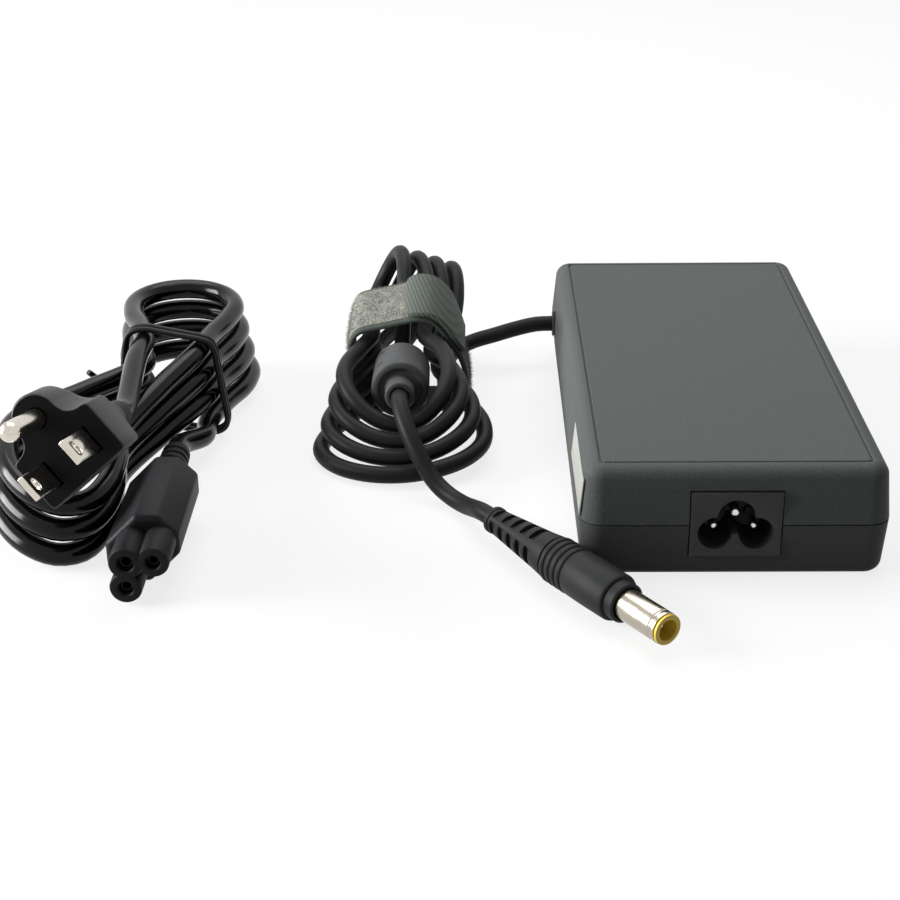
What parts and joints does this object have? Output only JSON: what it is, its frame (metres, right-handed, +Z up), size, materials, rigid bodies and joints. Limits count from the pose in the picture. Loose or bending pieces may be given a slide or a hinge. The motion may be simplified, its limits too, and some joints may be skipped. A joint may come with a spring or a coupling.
{
  "type": "laptop power adapter",
  "caption": "Slim two-shell power supply brick with a three-pin mains inlet, a captive low-voltage lead with ferrite bead, strap and barrel plug, and a detachable mains lead.",
  "frame": {"origin": "middle of the brick's flat underside, on the surface that it stands on", "axes": "+Z up, +Y along the brick away from its mains inlet, the low-voltage lead leaves on -X"},
  "size_m": [0.2309, 0.1966, 0.0575],
  "materials": {
    "case_top": "fine spark-eroded texture, dark grey",
    "case_base": "fine spark-eroded texture, dark grey",
    "inlet_black": "satin",
    "pin_metal": "bright nickel",
    "label_film": "blank satin film",
    "board_laminate": "tan green laminate",
    "ferrite": "dull sintered",
    "winding_tape": "yellow tape",
    "capacitor_sleeve": "shrink sleeve",
    "filter_film": "yellow box film capacitor",
    "aluminium_sheet": "mill finish",
    "chip_epoxy": "moulded epoxy",
    "fuse_glass": "clear tube with metal caps",
    "sheet_film": "insulating film",
    "lead_jacket": "matt jacket",
    "moulded_black": "moulded grommet",
    "bead_plastic": "satin moulded cover",
    "strap_loop": "brushed loop fabric",
    "strap_hook": "woven hook tape",
    "plug_plastic": "satin moulded grip",
    "barrel_nickel": "warm nickel plate",
    "insulator_yellow": "yellow moulded",
    "mains_jacket": "glossy jacket",
    "mains_plastic": "moulded, part textured",
    "blade_nickel": "nickel plated brass",
    "wire_red": "insulated wire",
    "wire_black": "insulated wire",
    "tie_black": "coated wire"
  },
  "bodies": {
    "adapter": {"top_cover": "case_top", "bottom_cover": "case_base", "side_label": "label_film", "inlet_housing": "inlet_black", "inlet_pin_line": "pin_metal", "inlet_pin_neutral": "pin_metal", "inlet_pin_earth": "pin_metal", "circuit_board": "board_laminate", "fuse": "fuse_glass", "line_filter_capacitor": "filter_film", "emi_choke": "winding_tape", "bridge_rectifier": "chip_epoxy", "pfc_choke": "ferrite", "bulk_capacitor": "capacitor_sleeve", "primary_heatsink": "aluminium_sheet", "secondary_heatsink": "aluminium_sheet", "switch_transistor": "chip_epoxy", "rectifier_transistor": "chip_epoxy", "transformer_core": "ferrite", "transformer_winding": "winding_tape", "output_capacitor_1": "capacitor_sleeve", "output_capacitor_2": "capacitor_sleeve", "output_choke": "ferrite", "heat_spreader_plate": "aluminium_sheet", "insulation_sheet": "sheet_film", "output_grommet": "moulded_black", "output_wire_positive": "wire_red", "output_wire_negative": "wire_black", "dc_lead_near": "lead_jacket", "dc_lead_hank": "lead_jacket", "ferrite_shell": "bead_plastic", "ferrite_core": "ferrite", "dc_lead_tail": "lead_jacket", "strap_loop_band": "strap_loop", "plug_strain_relief": "plug_plastic", "plug_body": "plug_plastic", "plug_barrel": "barrel_nickel", "plug_insulator": "insulator_yellow", "plug_centre_pin": "pin_metal"},
    "strap_tab": {"strap_hook_tab": "strap_hook"},
    "mains_lead": {"connector_body": "mains_plastic", "connector_contact_line": "pin_metal", "connector_contact_neutral": "pin_metal", "connector_contact_earth": "pin_metal", "connector_strain_relief": "mains_plastic", "mains_lead_near": "mains_jacket", "mains_lead_hank": "mains_jacket", "mains_lead_far": "mains_jacket", "mains_plug_strain_relief": "mains_plastic", "mains_plug_body": "mains_plastic", "mains_blade_line": "blade_nickel", "mains_blade_neutral": "blade_nickel", "mains_earth_pin": "blade_nickel", "twist_tie": "tie_black"}
  },
  "joints": [
    {"name": "strap_tab_hinge", "type": "hinge", "parent": "adapter", "child": "strap_tab", "pos_m": [-0.0669, 0.0316, 0.0208], "axis": [0, 1, 0], "range_deg": [0, 100]},
    {"name": "mains_lead_lift", "type": "slide", "parent": "adapter", "child": "mains_lead", "axis": [0, 0, 1], "range_m": [0, 0.2]}
  ]
}
